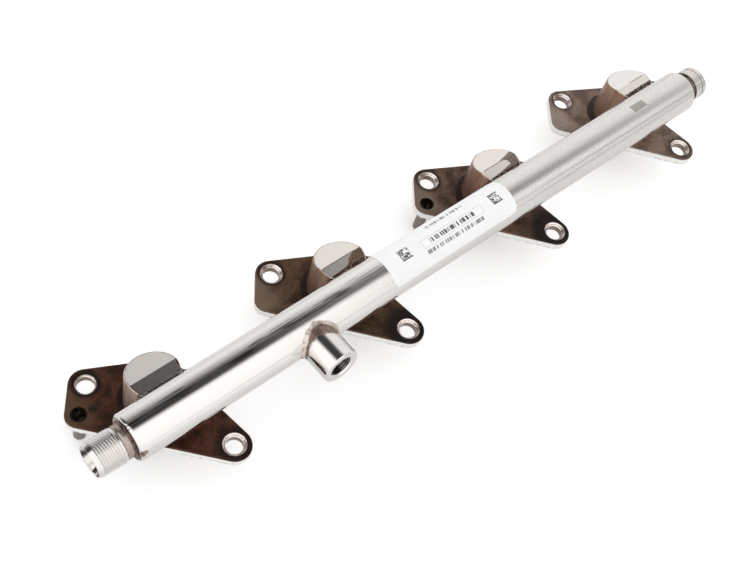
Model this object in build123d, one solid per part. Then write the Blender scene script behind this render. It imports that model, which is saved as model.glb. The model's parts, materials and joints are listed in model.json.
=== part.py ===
"""Fuel rail of a four-cylinder petrol engine with direct injection.

A thick-walled steel tube carries fuel past four forged injector holders. Each holder
is one forging: a mounting plate, a closed cup for the injector and a saddle for the
tube. A threaded inlet, a closed end fitting and a sensor boss are brazed to the tube,
and two dowels under the plates locate the rail on the cylinder head.

Millimetres. The origin is the first injector's axis at the mounting face. +X runs
along the row of injectors, +Y from the tube towards the injectors, and +Z up.
"""
from build123d import *

import os
from math import cos, degrees, radians, sin, sqrt, tan

# Row of injectors
INJECTOR_COUNT = 4
BORE_PITCH = 88.0

# Rail tube
TUBE_DIAMETER = 19.0
TUBE_BORE = 11.0
TUBE_SETBACK = 17.05        # from the injectors' axes to the tube's axis
TUBE_HEIGHT = 30.3          # tube's axis above the mounting face
INLET_OVERHANG = 22.4       # tube before the first injector
END_OVERHANG = 14.6         # tube past the last injector
TUBE_EDGE_ROUND = 1.2
BRAZE_GAP = 0.05            # all round, between brazed pieces

# Mounting plate of a holder, seen from above, measured from the injector's axis
PLATE_THICKNESS = 4.0
PLATE_EDGE_ROUND = 0.8
REAR_BOLT_X = -15.9
REAR_BOLT_Y = 19.3
REAR_LOBE_RADIUS = 6.6
FRONT_BOLT_X = 15.3
FRONT_BOLT_Y = -32.6
FRONT_LOBE_RADIUS = 6.8
DOWEL_X = -24.7
DOWEL_Y = 10.2
DOWEL_LOBE_RADIUS = 5.3
CUP_LOBE_RADIUS = 17.0
BOLT_HOLE = 7.0
BOLT_HOLE_CHAMFER = 1.15

# Cup of a holder
CUP_DIAMETER = 20.5
CUP_HEIGHT = 28.5           # flat top above the mounting face
CUP_ROOT_ROUND = 1.7
CUP_RIM_CHAMFER = 0.3
BEVEL_RIDGE = -0.25         # where the flat top ends and the back starts to slope
BEVEL_ANGLE = 24.2
INJECTOR_BORE = 11.0
INJECTOR_BORE_DEPTH = 19.0
BORE_MOUTH_DIAMETER = 13.0  # counterbore at the mounting face, for the injector's collar
BORE_MOUTH_DEPTH = 1.5
LEAD_IN_LENGTH = 3.0        # cone from the mouth to the bore, for the seal ring
FEED_DRILL = 3.0
FEED_DROP = 2.5             # where the feed drilling ends, below the bore's roof

# Saddle of a holder
SADDLE_WIDTH = 23.0
SADDLE_WALL = 1.35          # behind the tube's back
SADDLE_TOE = 1.0            # in front of the tube's axis
SADDLE_FLARE = 0.9          # from the wall's back corner to the cup
SADDLE_INSET = 3.0          # from the plate's edge
SADDLE_BLEND = 1.75
SADDLE_CORNER = 0.5

# Dowels, under the plates of the first and the third holder
DOWEL_HOLDERS = (0, 2)
DOWEL_SHANK_DIAMETER = 5.4  # pressed into the plate
DOWEL_DIAMETER = 4.9        # below the plate, for the hole in the cylinder head
DOWEL_REACH = 15.0          # below the mounting face
DOWEL_RECESS = 1.8          # its top below the plate's top
DOWEL_NOSE = 1.2            # chamfer at its lower end

# Inlet fitting, from its tip to the tube
INLET_THREAD = 14.0
INLET_TIP_DIAMETER = 12.5
INLET_TIP_LENGTH = 1.9
INLET_THREAD_LENGTH = 8.4
INLET_LAND_DIAMETER = 13.6
INLET_LAND_LENGTH = 1.5
INLET_NECK_DIAMETER = 13.4
INLET_NECK_LENGTH = 3.0
SEAT_MOUTH_DIAMETER = 12.0
SEAT_CONE_ANGLE = 60.0
FITTING_BORE = 5.0

# End fitting, from the tube to its cap
END_NECK_DIAMETER = 12.0
END_NECK_LENGTH = 3.8
COLLAR_DIAMETER = 14.7
COLLAR_LENGTH = 4.2
CAP_LENGTH = 2.6
CAP_ROUND = 0.5

# Both fittings
SPIGOT_LENGTH = 8.0         # inside the tube
GROOVE_WIDTH = 0.4
GROOVE_DEPTH = 0.6

# Sensor boss
BOSS_X = 56.25              # past the first injector
BOSS_DIAMETER = 15.4
BOSS_REACH = 12.6           # its face beyond the tube's skin
BOSS_TILT = 6.1             # above the horizontal
BOSS_CHAMFER = 0.4
SENSOR_THREAD_BORE = 8.9
SENSOR_THREAD_DEPTH = 9.0
SENSOR_THREAD_CHAMFER = 0.75
SENSOR_DRILL = 3.0

# Braze
BRAZE_RING = 1.3            # leg of the ring at each end of the tube
BOSS_FILLET = 1.8
BEAD_WIDTH = 1.3            # on the holder's flat top
BEAD_HEIGHT = 2.0           # up the tube

# Label
LABEL_AFTER = 1             # the injector it follows, counted from 0
LABEL_OFFSET = 6.1          # past that injector
LABEL_LENGTH = 67.2
LABEL_LOW_ANGLE = 28.0      # lower edge, above the horizontal at the tube's front
LABEL_HIGH_ANGLE = 150.0
LABEL_THICKNESS = 0.15
LABEL_CORNER = 3.0

SAME_PLACE = 0.01           # closer than this is on the same line or circle
TUBE_RADIUS = TUBE_DIAMETER / 2
CUP_RADIUS = CUP_DIAMETER / 2
TUBE_LENGTH = INLET_OVERHANG + (INJECTOR_COUNT - 1) * BORE_PITCH + END_OVERHANG
UPWARD = (Align.CENTER, Align.CENTER, Align.MIN)
PLATE_LOBES = (
    (REAR_BOLT_X, REAR_BOLT_Y, REAR_LOBE_RADIUS),
    (FRONT_BOLT_X, FRONT_BOLT_Y, FRONT_LOBE_RADIUS),
    (DOWEL_X, DOWEL_Y, DOWEL_LOBE_RADIUS),
    (0, 0, CUP_LOBE_RADIUS),
)


def injector_x(number):
    return number * BORE_PITCH


def on_rail(x):
    """Plane across the tube at x, its own Z along the tube."""
    return Plane(origin=(x, -TUBE_SETBACK, TUBE_HEIGHT), x_dir=(0, 1, 0), z_dir=(1, 0, 0))


def tube_core(radius):
    """A plain cylinder on the tube's axis, over the whole tube."""
    return on_rail(-INLET_OVERHANG) * Cylinder(radius, TUBE_LENGTH, align=UPWARD)


def turned(profile, x):
    """A turned piece on the tube's axis, from points of (distance along X, radius)."""
    face = make_face(Polyline(*profile, close=True))
    return Pos(x, -TUBE_SETBACK, TUBE_HEIGHT) * revolve(face, Axis.X)


def feed_drilling(number):
    """Slanting drilling from the tube's bore down to the roof of an injector bore."""
    start = Vector(injector_x(number), -TUBE_SETBACK, TUBE_HEIGHT)
    end = Vector(injector_x(number), 0, INJECTOR_BORE_DEPTH - FEED_DROP)
    run = end - start
    return Plane(origin=start, z_dir=run) * Cylinder(FEED_DRILL / 2, run.length, align=UPWARD)


def radial_plane(x, angle):
    """Plane on the tube's axis whose Z points out, at an angle above the tube's front."""
    outward = (0, -cos(radians(angle)), sin(radians(angle)))
    return Plane(origin=(x, -TUBE_SETBACK, TUBE_HEIGHT), x_dir=(1, 0, 0), z_dir=outward)


def boss_plane():
    return radial_plane(BOSS_X, BOSS_TILT)


def boss_blank(edge=0.0):
    """The boss as a bar from the tube's axis out to its face."""
    bar = Cylinder(BOSS_DIAMETER / 2, TUBE_RADIUS + BOSS_REACH, align=UPWARD)
    if edge:
        bar = chamfer(bar.edges().group_by(Axis.Z)[-1], edge)
    return boss_plane() * bar


def sensor_drilling():
    return boss_plane() * Cylinder(SENSOR_DRILL / 2, TUBE_RADIUS + BOSS_REACH, align=UPWARD)


def rail_tube():
    tube = tube_core(TUBE_RADIUS)
    tube = fillet(tube.edges().filter_by(GeomType.CIRCLE), TUBE_EDGE_ROUND)
    tube -= tube_core(TUBE_BORE / 2)
    for number in range(INJECTOR_COUNT):
        tube -= feed_drilling(number)
    return tube - sensor_drilling()


def inlet_fitting():
    """Turned fitting with a bevelled tip, a thread, a groove and a cone seat."""
    bore = FITTING_BORE / 2
    neck = INLET_NECK_LENGTH
    land = neck + INLET_LAND_LENGTH
    thread = land + INLET_THREAD_LENGTH
    tip = thread + INLET_TIP_LENGTH
    seat_depth = (SEAT_MOUTH_DIAMETER / 2 - bore) / tan(radians(SEAT_CONE_ANGLE / 2))
    spigot = TUBE_BORE / 2 - BRAZE_GAP
    groove = INLET_NECK_DIAMETER / 2 - GROOVE_DEPTH
    profile = [
        (-tip + seat_depth, bore),
        (-tip, SEAT_MOUTH_DIAMETER / 2),
        (-tip, INLET_TIP_DIAMETER / 2),
        (-thread, INLET_THREAD / 2),
        (-land, INLET_THREAD / 2),
        (-land, INLET_LAND_DIAMETER / 2),
        (-neck - GROOVE_WIDTH, INLET_LAND_DIAMETER / 2),
        (-neck - GROOVE_WIDTH, groove),
        (-neck, groove),
        (-neck, INLET_NECK_DIAMETER / 2),
        (0, INLET_NECK_DIAMETER / 2),
        (0, spigot),
        (SPIGOT_LENGTH, spigot),
        (SPIGOT_LENGTH, bore),
    ]
    return turned(profile, -INLET_OVERHANG)


def end_fitting():
    """Turned and closed fitting: spigot, neck, collar, groove and cap."""
    spigot = TUBE_BORE / 2 - BRAZE_GAP
    neck = END_NECK_DIAMETER / 2
    collar = COLLAR_DIAMETER / 2
    groove_start = END_NECK_LENGTH + COLLAR_LENGTH
    groove_end = groove_start + GROOVE_WIDTH
    end = groove_end + CAP_LENGTH
    profile = [
        (-SPIGOT_LENGTH, 0),
        (-SPIGOT_LENGTH, spigot),
        (0, spigot),
        (0, neck),
        (END_NECK_LENGTH, neck),
        (END_NECK_LENGTH, collar),
        (groove_start, collar),
        (groove_start, collar - GROOVE_DEPTH),
        (groove_end, collar - GROOVE_DEPTH),
        (groove_end, collar),
        (end - CAP_ROUND, collar),
        (end, collar - CAP_ROUND),
        (end, 0),
    ]
    return turned(profile, TUBE_LENGTH - INLET_OVERHANG)


def sensor_boss():
    """Boss saddled on the tube, with a threaded bore and a drilling to the tube."""
    face = TUBE_RADIUS + BOSS_REACH
    boss = boss_blank(BOSS_CHAMFER) - tube_core(TUBE_RADIUS + BRAZE_GAP)
    thread_radius = SENSOR_THREAD_BORE / 2
    bottom = face - SENSOR_THREAD_DEPTH
    bore = [
        (0, bottom - thread_radius + SENSOR_DRILL / 2),
        (SENSOR_DRILL / 2, bottom - thread_radius + SENSOR_DRILL / 2),
        (thread_radius, bottom),
        (thread_radius, face - SENSOR_THREAD_CHAMFER),
        (thread_radius + SENSOR_THREAD_CHAMFER, face),
        (0, face),
    ]
    boss -= boss_plane() * revolve(Plane.XZ * make_face(Polyline(*bore, close=True)), Axis.Z)
    return boss - sensor_drilling()


def plate_outline():
    """Convex outline round the two bolt holes, the dowel and the cup."""
    with BuildSketch() as outline:
        with BuildLine():
            for x, y, radius in PLATE_LOBES:
                CenterArc((x, y), radius, 0, 360)
        make_hull()
    return outline.sketch


def tower_outline():
    """Plan of the cup and of the saddle that grows from its front."""
    half = SADDLE_WIDTH / 2
    front = -TUBE_SETBACK - SADDLE_TOE
    back = -TUBE_SETBACK + TUBE_RADIUS + SADDLE_WALL
    flare_y = back + SADDLE_FLARE
    flare_x = sqrt(CUP_RADIUS**2 - flare_y**2)
    corners = [(-half, front), (half, front), (half, back), (flare_x, flare_y),
               (-flare_x, flare_y), (-half, back)]
    saddle = make_face(Polyline(*corners, close=True))
    backs = [v for v in saddle.vertices() if abs(v.Y - back) < SAME_PLACE]
    saddle = fillet(backs, SADDLE_CORNER) & offset(plate_outline(), -SADDLE_INSET)
    tower = Circle(CUP_RADIUS) + saddle
    blends = [v for v in tower.vertices() if abs(v.Y - flare_y) < SAME_PLACE]
    return fillet(blends, SADDLE_BLEND)


def bevel_wedge():
    """What the sloping back takes off the top of the cup."""
    run = CUP_DIAMETER
    with BuildSketch(Plane.YZ) as side:
        with BuildLine():
            Polyline(
                (BEVEL_RIDGE, CUP_HEIGHT),
                (BEVEL_RIDGE + run, CUP_HEIGHT - run * tan(radians(BEVEL_ANGLE))),
                (BEVEL_RIDGE + run, CUP_HEIGHT + run),
                (BEVEL_RIDGE, CUP_HEIGHT + run),
                close=True,
            )
        make_face()
    return extrude(side.sketch, CUP_DIAMETER, both=True)


def bolt_hole(x, y):
    radius = BOLT_HOLE / 2
    hole = Pos(x, y, 0) * Cylinder(radius, PLATE_THICKNESS, align=UPWARD)
    mouth = Cone(radius, radius + BOLT_HOLE_CHAMFER, BOLT_HOLE_CHAMFER, align=UPWARD)
    return hole + Pos(x, y, PLATE_THICKNESS - BOLT_HOLE_CHAMFER) * mouth


def injector_bore():
    """Bore for the injector, with a counterbored mouth and a cone for its seal ring."""
    bore = Cylinder(INJECTOR_BORE / 2, INJECTOR_BORE_DEPTH, align=UPWARD)
    mouth = Cylinder(BORE_MOUTH_DIAMETER / 2, BORE_MOUTH_DEPTH, align=UPWARD)
    lead_in = Cone(BORE_MOUTH_DIAMETER / 2, INJECTOR_BORE / 2, LEAD_IN_LENGTH, align=UPWARD)
    return bore + mouth + Pos(0, 0, BORE_MOUTH_DEPTH) * lead_in


def holder_forging():
    """Plate, cup and saddle in one, with the cup's sloping back, before drilling."""
    plate = extrude(plate_outline(), PLATE_THICKNESS)
    plate = fillet(plate.edges().group_by(Axis.Z)[-1], PLATE_EDGE_ROUND)
    tower = extrude(tower_outline(), CUP_HEIGHT)
    forging = plate + tower
    root = new_edges(plate, tower, combined=forging)
    forging = fillet(root, CUP_ROOT_ROUND)
    return forging - bevel_wedge()


def rim_edges(holder):
    """The cup's upper rim: the curved edges on its cylinder above the plate."""
    found = []
    for edge in holder.edges():
        middle = edge @ 0.5
        on_cup = abs(sqrt(middle.X**2 + middle.Y**2) - CUP_RADIUS) < SAME_PLACE
        if on_cup and middle.Z > CUP_HEIGHT / 2 and edge.geom_type != GeomType.LINE:
            found.append(edge)
    return found


def injector_holder(number, forging):
    """One holder in its place on the rail, drilled and seated on the tube."""
    holder = chamfer(rim_edges(forging), CUP_RIM_CHAMFER)
    holder -= injector_bore()
    holder -= bolt_hole(REAR_BOLT_X, REAR_BOLT_Y)
    holder -= bolt_hole(FRONT_BOLT_X, FRONT_BOLT_Y)
    if number in DOWEL_HOLDERS:
        dowel_hole = Cylinder(DOWEL_SHANK_DIAMETER / 2, PLATE_THICKNESS, align=UPWARD)
        holder -= Pos(DOWEL_X, DOWEL_Y, 0) * dowel_hole
    holder = Pos(injector_x(number), 0, 0) * holder
    return holder - tube_core(TUBE_RADIUS + BRAZE_GAP) - feed_drilling(number)


def locating_dowel(number):
    """Stepped dowel: a shank pressed into the plate and a slimmer pin below it."""
    shank = DOWEL_SHANK_DIAMETER / 2
    pin = DOWEL_DIAMETER / 2
    top = PLATE_THICKNESS - DOWEL_RECESS
    profile = [
        (0, -DOWEL_REACH),
        (pin - DOWEL_NOSE, -DOWEL_REACH),
        (pin, -DOWEL_REACH + DOWEL_NOSE),
        (pin, 0),
        (shank, 0),
        (shank, top),
        (0, top),
    ]
    dowel = revolve(Plane.XZ * make_face(Polyline(*profile, close=True)), Axis.Z)
    return Pos(injector_x(number) + DOWEL_X, DOWEL_Y, 0) * dowel


def braze_ring(x, neck_diameter, outward):
    """Hollow-faced ring in the corner between a fitting's neck and the tube's end."""
    neck = neck_diameter / 2
    reach = outward * BRAZE_RING
    with BuildSketch() as section:
        with BuildLine():
            Line((0, neck), (0, neck + BRAZE_RING))
            Line((0, neck), (reach, neck))
            RadiusArc((0, neck + BRAZE_RING), (reach, neck), -outward * BRAZE_RING)
        make_face()
    return Pos(x, -TUBE_SETBACK, TUBE_HEIGHT) * revolve(section.sketch, Axis.X)


def braze_boss():
    """What a fillet adds between the tube and the sensor boss."""
    tube = tube_core(TUBE_RADIUS)
    boss = boss_blank()
    joined = tube + boss
    filled = fillet(new_edges(tube, boss, combined=joined), BOSS_FILLET)
    return filled - tube - boss


def braze_bead(number):
    """Bead along the corner between the holder's flat top and the tube's back."""
    rise = CUP_HEIGHT - TUBE_HEIGHT
    skin_y = -TUBE_SETBACK + sqrt(TUBE_RADIUS**2 - rise**2)
    with BuildSketch(Plane.YZ) as section:
        with BuildLine():
            Polyline(
                (skin_y + BEAD_WIDTH, CUP_HEIGHT),
                (-TUBE_SETBACK, CUP_HEIGHT),
                (-TUBE_SETBACK, CUP_HEIGHT + BEAD_HEIGHT),
                (skin_y, CUP_HEIGHT + BEAD_HEIGHT),
            )
            Line((skin_y, CUP_HEIGHT + BEAD_HEIGHT), (skin_y + BEAD_WIDTH, CUP_HEIGHT))
        make_face()
    bead = extrude(section.sketch, SADDLE_WIDTH / 2, both=True)
    return Pos(injector_x(number), 0, 0) * bead - tube_core(TUBE_RADIUS)


def label_corner_waste(toward_end, toward_high):
    """What rounding takes off one corner of the label; both arguments are 1 or -1."""
    start = injector_x(LABEL_AFTER) + LABEL_OFFSET
    edge_x = start + LABEL_LENGTH if toward_end > 0 else start
    edge_angle = LABEL_HIGH_ANGLE if toward_high > 0 else LABEL_LOW_ANGLE
    centre_x = edge_x - toward_end * LABEL_CORNER
    centre_angle = edge_angle - toward_high * degrees(LABEL_CORNER / TUBE_RADIUS)
    square = Rectangle(2 * LABEL_CORNER, 2 * LABEL_CORNER, align=Align.MIN)
    waste = square - Circle(LABEL_CORNER)
    if toward_end < 0:
        waste = mirror(waste, Plane.YZ)
    if toward_high < 0:
        waste = mirror(waste, Plane.XZ)
    return radial_plane(centre_x, centre_angle) * extrude(waste, TUBE_DIAMETER, dir=(0, 0, 1))


def rail_label():
    """Thin sheet wrapped on the tube, with rounded corners."""
    first = 180 - LABEL_HIGH_ANGLE
    sweep = LABEL_HIGH_ANGLE - LABEL_LOW_ANGLE
    with BuildSketch(on_rail(injector_x(LABEL_AFTER) + LABEL_OFFSET)) as section:
        with BuildLine():
            inner = CenterArc((0, 0), TUBE_RADIUS, first, sweep)
            outer = CenterArc((0, 0), TUBE_RADIUS + LABEL_THICKNESS, first, sweep)
            Line(inner @ 0, outer @ 0)
            Line(inner @ 1, outer @ 1)
        make_face()
    sheet = extrude(section.sketch, LABEL_LENGTH)
    for toward_end in (-1, 1):
        for toward_high in (-1, 1):
            sheet -= label_corner_waste(toward_end, toward_high)
    return sheet


def build():
    nodes = {
        "rail_tube": rail_tube(),
        "inlet_fitting": inlet_fitting(),
        "end_fitting": end_fitting(),
        "sensor_boss": sensor_boss(),
        "braze_inlet": braze_ring(-INLET_OVERHANG, INLET_NECK_DIAMETER, -1),
        "braze_end": braze_ring(TUBE_LENGTH - INLET_OVERHANG, END_NECK_DIAMETER, 1),
        "braze_boss": braze_boss(),
        "rail_label": rail_label(),
    }
    forging = holder_forging()
    for number in range(INJECTOR_COUNT):
        nodes[f"injector_holder_{number + 1}"] = injector_holder(number, forging)
        nodes[f"braze_holder_{number + 1}"] = braze_bead(number)
    for number in DOWEL_HOLDERS:
        nodes[f"locating_dowel_{number + 1}"] = locating_dowel(number)
    return nodes


os.makedirs("parts", exist_ok=True)
for name, solid in build().items():
    export_step(solid, f"parts/{name}.step")
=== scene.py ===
# %% [markdown]
# # A fuel rail, dressed for its portrait
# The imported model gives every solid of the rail: a thick steel tube, four forged injector
# holders, two turned end fittings, a sensor boss, dowels, braze and a label. This lesson
# keeps those solids wherever their shape is right and gives each a finish made of nodes.
# Only what a solid leaves plain is built anew here: threads and the lumps of braze.

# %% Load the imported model
import json
import math

import bpy
import numpy as np
from mathutils import Matrix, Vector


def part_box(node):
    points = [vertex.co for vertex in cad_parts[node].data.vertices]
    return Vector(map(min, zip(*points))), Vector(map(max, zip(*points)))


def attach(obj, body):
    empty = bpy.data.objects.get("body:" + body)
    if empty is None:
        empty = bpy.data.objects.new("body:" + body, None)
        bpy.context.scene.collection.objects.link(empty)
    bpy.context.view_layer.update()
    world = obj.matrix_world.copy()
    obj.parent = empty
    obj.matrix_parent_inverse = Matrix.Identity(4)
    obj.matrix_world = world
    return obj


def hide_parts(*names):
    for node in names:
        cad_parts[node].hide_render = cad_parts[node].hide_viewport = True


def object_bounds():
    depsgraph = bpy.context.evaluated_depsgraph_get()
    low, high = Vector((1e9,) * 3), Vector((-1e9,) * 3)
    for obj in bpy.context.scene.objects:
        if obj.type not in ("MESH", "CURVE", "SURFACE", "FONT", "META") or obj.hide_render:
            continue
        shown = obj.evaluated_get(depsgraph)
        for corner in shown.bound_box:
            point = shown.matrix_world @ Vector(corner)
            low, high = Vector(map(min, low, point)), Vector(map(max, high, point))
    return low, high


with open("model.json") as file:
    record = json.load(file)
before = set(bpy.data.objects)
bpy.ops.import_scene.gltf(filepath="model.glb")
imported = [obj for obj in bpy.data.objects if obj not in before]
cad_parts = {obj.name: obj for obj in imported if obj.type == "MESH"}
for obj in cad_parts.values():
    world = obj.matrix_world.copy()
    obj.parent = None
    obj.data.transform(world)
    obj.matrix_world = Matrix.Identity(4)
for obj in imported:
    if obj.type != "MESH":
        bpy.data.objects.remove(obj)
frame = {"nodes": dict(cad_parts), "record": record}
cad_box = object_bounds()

MM = 0.001
nodes = frame["nodes"]
mounts = {mount["name"]: mount for mount in frame["record"]["mounts"]}
print("CAD nodes:", len(nodes), "mounts:", len(mounts))

# %% [markdown]
# ## Sizes
# The tube's own box gives its axis and radius. The mounts give the places of the injectors,
# the bolts, the dowels and the boss, and both threads. What the frame doesn't say is typed
# here once, in millimetres.

# %% Sizes of the tube
def place_of(mount_name):
    """A mount's place in millimetres."""
    return np.array(mounts[mount_name]["pos_m"]) / MM


tube_low, tube_high = (np.array(corner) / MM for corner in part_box("rail_tube"))
TUBE_START, TUBE_END = tube_low[0], tube_high[0]
AXIS_Y, AXIS_Z = (tube_low[1:] + tube_high[1:]) / 2
TUBE_RADIUS = (tube_high[1] - tube_low[1]) / 2
TUBE_LINE = ((0.0, AXIS_Y, AXIS_Z), (1.0, 0.0, 0.0))
print("tube from", round(TUBE_START, 2), "to", round(TUBE_END, 2), "radius", round(TUBE_RADIUS, 2))

# %% Sizes of the holders
INJECTORS = [place_of(f"injector_bore_{number}")[0] for number in (1, 2, 3, 4)]
ROW_MIDDLE = (sum(INJECTORS) / len(INJECTORS), 0.0)
REAR_BOLT = tuple(place_of("rear_bolts_outer")[:2] - ROW_MIDDLE)
FRONT_BOLT = tuple(place_of("front_bolts_outer")[:2] - ROW_MIDDLE)
HOLE_RADIUS = mounts["rear_bolts_outer"]["dims"]["hole_r_mm"]
HOLE_CHAMFER = 1.15
FULL_RIM = HOLE_RADIUS + HOLE_CHAMFER
DOWEL = tuple(place_of("dowel_1")[:2] - (INJECTORS[0], 0.0))
DOWEL_HOLDERS = (1, 3)
PLATE_TOP = 4.0
CUP_RADIUS = 10.25
CUP_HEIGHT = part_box("injector_holder_1")[1].z / MM
BEVEL_RIDGE = -0.25
BEVEL_SLOPE = math.tan(math.radians(24.2))
print("injectors at", [round(x, 1) for x in INJECTORS], "cup height", round(CUP_HEIGHT, 2))

# %% Sizes of the boss
boss_low, boss_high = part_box("sensor_boss")
BOSS_RADIUS = (boss_high.x - boss_low.x) / 2 / MM
BOSS_REACH = 12.6
BOSS_X = place_of("sensor_thread")[0]
BOSS_FOOT = (BOSS_X, AXIS_Y, AXIS_Z)
BOSS_OUT = tuple(mounts["sensor_thread"]["axis"])
SENSOR_BORE = mounts["sensor_thread"]["dims"]["r_mm"]
print("boss radius", round(BOSS_RADIUS, 2), "pointing", BOSS_OUT, "bore radius", SENSOR_BORE)

# %% [markdown]
# ## Camera
# The camera stands where the photographer's did: its place and its three axes were worked
# out from hole rings, cup rims and tube edges. The lens follows from the same fit.

# %% Camera
CAMERA_PLACE = (-115.536, -149.276, 409.642)
CAMERA_RIGHT = (0.75204, -0.63098, 0.19049)
CAMERA_DOWN = (-0.47336, -0.71817, -0.51005)
CAMERA_FORWARD = (0.45864, 0.29341, -0.83878)
FOCAL_PIXELS = 1159.97
IMAGE_WIDTH = 750
SENSOR_WIDTH = 36.0

camera_data = bpy.data.cameras.new("portrait_camera")
camera_data.sensor_width = SENSOR_WIDTH
camera_data.lens = SENSOR_WIDTH * FOCAL_PIXELS / IMAGE_WIDTH
camera = bpy.data.objects.new("portrait_camera", camera_data)
turn = np.array([CAMERA_RIGHT, CAMERA_DOWN, CAMERA_FORWARD]).T * [1, -1, -1]
camera.matrix_world = Matrix.Translation(np.array(CAMERA_PLACE) * MM) @ Matrix(turn).to_4x4()
bpy.context.scene.collection.objects.link(camera)
bpy.context.scene.camera = camera
bpy.context.scene.view_settings.view_transform = "Standard"
print("lens", round(camera_data.lens, 2))

# %% [markdown]
# ## One helper for nodes
# A finish is a small graph. One function adds a node, fills its inputs in order or by
# name, and sets its properties, so a material reads as a list of what is mixed with what.
# The others put such nodes together into what the finishes need: masks, curves and noise.

# %% Colours and nodes
def linear(hex_colour):
    """An sRGB colour as #rrggbb, turned to the linear values that a shader works with."""
    parts = [int(hex_colour[i:i + 2], 16) / 255 for i in (1, 3, 5)]
    return [part / 12.92 if part <= 0.04045 else ((part + 0.055) / 1.055) ** 2.4
            for part in parts] + [1.0]


def fill(tree, made, values):
    """Fills a node's inputs, by number or name, with nodes, outputs or plain values."""
    for key, value in values.items():
        socket = made.inputs[key]
        if isinstance(value, bpy.types.Node):
            tree.links.new(value.outputs[0], socket)
        elif isinstance(value, bpy.types.NodeSocket):
            tree.links.new(value, socket)
        elif value is not None:
            socket.default_value = value


def add(tree, kind, *values, named=(), **settings):
    """Adds a node, sets its properties, and fills its inputs in order and then by name."""
    made = tree.nodes.new("ShaderNode" + kind)
    for name, value in settings.items():
        setattr(made, name, value)
    fill(tree, made, {**dict(enumerate(values)), **dict(named)})
    return made


# %% A new finish and its coat
def new_finish(name):
    """A material with its shader, and the place on the object in millimetres as X, Y, Z."""
    material = bpy.data.materials.new(name)
    material.use_nodes = True
    tree = material.node_tree
    tree.nodes.clear()
    shader = add(tree, "BsdfPrincipled")
    add(tree, "OutputMaterial", shader)
    coordinates = add(tree, "TexCoord")
    place = add(tree, "VectorMath", coordinates.outputs["Object"], operation="SCALE",
                named={"Scale": 1 / MM})
    axes = add(tree, "SeparateXYZ", place)
    return material, tree, shader, place, axes.outputs


def coat(tree, shader, colour, metallic, roughness, relief, strength, depth):
    """Gives a shader its colour, metal, roughness and a relief of a depth in millimetres."""
    bump = add(tree, "Bump", named={"Strength": strength, "Distance": depth * MM,
                                    "Height": relief})
    fill(tree, shader, {"Base Color": colour, "Metallic": metallic, "Roughness": roughness,
                        "Normal": bump})


# %% Masks, curves and noise
def edge(tree, value, start, end):
    """0 before start and 1 after end, smooth between; start above end turns it round."""
    ends = (start, end, 0, 1) if start < end else (end, start, 1, 0)
    return add(tree, "MapRange", value, *ends, interpolation_type="SMOOTHSTEP")


def levels(tree, value, points):
    """Straight lines from point to point, as a sum of clamped ranges, flat beyond the ends."""
    total = points[0][1]
    for (start, low), (end, high) in zip(points, points[1:]):
        rise = add(tree, "MapRange", value, start, end, 0.0, high - low)
        total = add(tree, "Math", rise, total, operation="ADD")
    return total


def product(tree, first, *others):
    """The masks multiplied with each other."""
    for other in others:
        first = add(tree, "Math", first, other, operation="MULTIPLY")
    return first


def laid_over(tree, colour, *layers):
    """Lays layers of mask and colour over a first colour, one after the other."""
    for mask, layer in layers:
        tone = linear(layer) if isinstance(layer, str) else layer
        colour = add(tree, "MixRGB", mask, colour, tone)
    return colour


def grain(tree, place, size, stretch=(1, 1, 1), detail=3.0, seed=0.0):
    """Noise whose lumps are about size millimetres, longer along axes with a small stretch."""
    moved = add(tree, "Mapping", place, (seed, seed * 0.7, seed * 0.3), (0, 0, 0), stretch)
    return add(tree, "TexNoise", moved, named={"Scale": 1 / size, "Detail": detail})


# %% Helpers for places
def tube_angle(tree, axes):
    """Degrees round the tube: 0 at its front, 90 at its top, 180 at its back."""
    ahead = add(tree, "Math", AXIS_Y, axes["Y"], operation="SUBTRACT")
    up = add(tree, "Math", axes["Z"], AXIS_Z, operation="SUBTRACT")
    turn = add(tree, "Math", up, ahead, operation="ARCTAN2")
    return add(tree, "Math", turn, operation="DEGREES")


def in_plan(tree, place, centre):
    """Distance of the place from an upright line through the centre, given as x and y."""
    away = add(tree, "VectorMath", place, (-centre[0], -centre[1], 0.0), operation="ADD")
    away = add(tree, "VectorMath", away, (1.0, 1.0, 0.0), operation="MULTIPLY")
    return add(tree, "VectorMath", away, operation="LENGTH").outputs["Value"]


def from_line(tree, place, point, direction):
    """Distance of the place from a straight line, by the cross product with its direction."""
    away = add(tree, "VectorMath", place, tuple(-part for part in point), operation="ADD")
    across = add(tree, "VectorMath", away, direction, operation="CROSS_PRODUCT")
    return add(tree, "VectorMath", across, operation="LENGTH").outputs["Value"]


def dress(node_name, material):
    """Gives a CAD node its one material."""
    node = nodes[node_name]
    node.data.materials.clear()
    node.data.materials.append(material)
    print(node_name, "wears", material.name)


# %% [markdown]
# ## Light
# A rail like this is photographed in a white tent. Diffuse light is the same from all
# sides, so the world gives every matt surface a plain level of 1. Polished steel shows the
# tent itself, so for glossy rays the world is drawn as one: a white front, a dark gap
# where two sheets meet overhead, and a back that brightens away from the gap. The gap is
# straight, so it lies on a plane through the object, and the dot product of a direction
# with that plane's normal tells how far a reflection is from it.
#
# From one end of the tube to the other, mirrored directions turn towards +X. Most lists
# here are therefore points of a direction's X and a value there: where the gap's edge lies
# and how soft it is, how dark the gap is, how fast the back brightens and how far, how
# bright the front is, and how much its seam shades. BACK_LEVELS goes by the distance from
# the gap instead, and FRONT_SLOPE by the turn upwards from the front, in degrees.

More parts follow.
